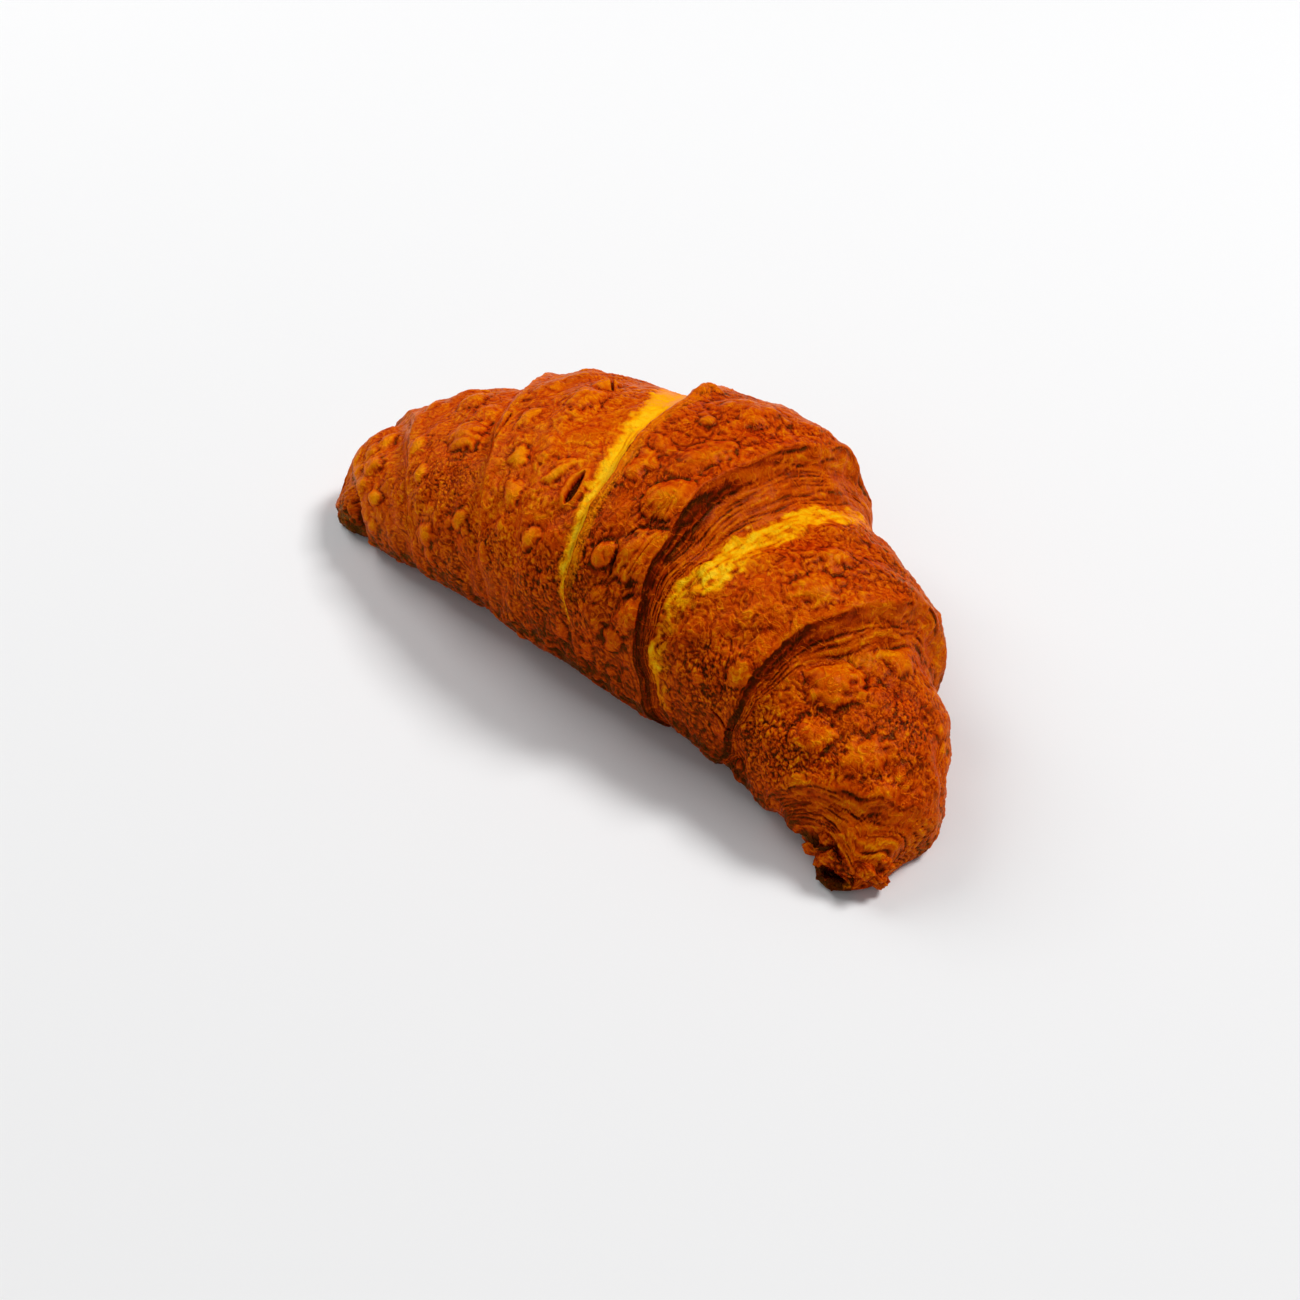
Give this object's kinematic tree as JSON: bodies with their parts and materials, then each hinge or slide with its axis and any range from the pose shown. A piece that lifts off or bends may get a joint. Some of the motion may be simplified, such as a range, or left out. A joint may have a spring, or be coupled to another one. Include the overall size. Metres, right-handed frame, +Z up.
{
  "type": "croissant",
  "caption": "Baked crescent roll of layered dough, with spiral turns, cut-edge steps and blisters, lying on its flat foot.",
  "frame": {"origin": "middle of the bounding box, on the surface that the foot rests on", "axes": "+X along the length towards the blunt end, +Y towards the outer, convex side, +Z up"},
  "size_m": [0.176, 0.0806, 0.0508],
  "materials": {
    "crust": "egg-washed browned crust, satin, with paler unbrowned stripes beside two edges"
  },
  "bodies": {
    "root": {"croissant": "crust"}
  },
  "joints": []
}
